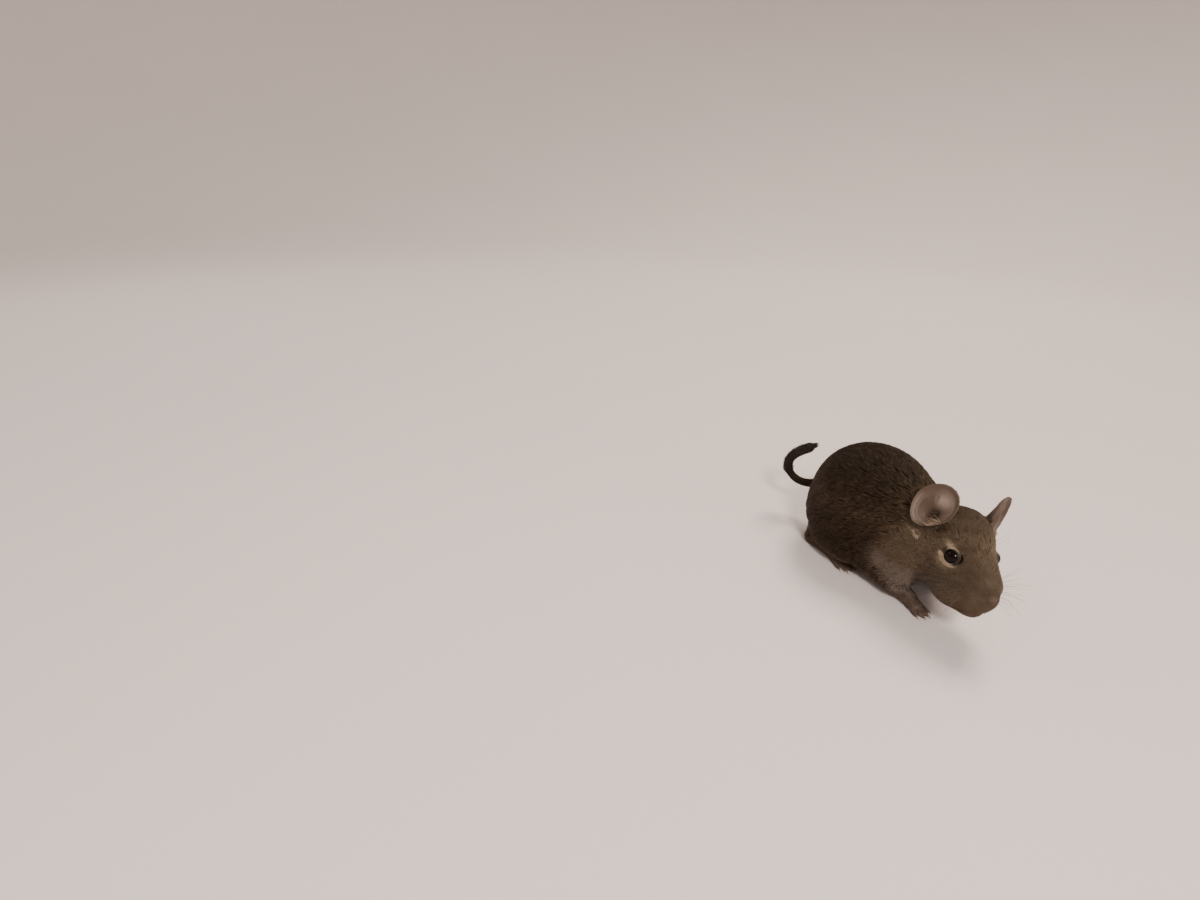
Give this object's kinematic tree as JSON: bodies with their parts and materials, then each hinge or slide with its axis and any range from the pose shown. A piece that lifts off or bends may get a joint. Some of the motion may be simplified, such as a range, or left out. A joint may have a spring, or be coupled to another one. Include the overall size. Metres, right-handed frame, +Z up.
{
  "type": "degu",
  "caption": "Still, life-size model of a degu hunched on all fours, its head turned to one side and its brush-tipped tail curled over.",
  "frame": {"origin": "middle of the bounding box on the floor that the feet rest on", "axes": "+Z up, -Y the way the body faces, +X the animal's left"},
  "size_m": [0.0716, 0.16, 0.0815],
  "materials": {
    "coat": "soft brown fur over the whole body, standing in for a degu's coat",
    "ear_skin": "thin grey-brown skin with a soft sheen",
    "eye": "wet, polished, blackish brown",
    "paw": "grey skin under very short hair",
    "tail_coat": "short dark bristles lying flat",
    "brush": "long blackish bristles in locks"
  },
  "bodies": {
    "root": {"torso": "coat", "neck": "coat", "head": "coat", "ear_left": "ear_skin", "ear_right": "ear_skin", "eye_left": "eye", "eye_right": "eye", "foreleg_left": "coat", "foreleg_right": "coat", "forepaw_left": "paw", "forepaw_right": "paw", "hindleg_left": "coat", "hindleg_right": "coat", "hindfoot_left": "paw", "hindfoot_right": "paw", "tail": "tail_coat", "tail_brush": "brush"}
  },
  "joints": []
}
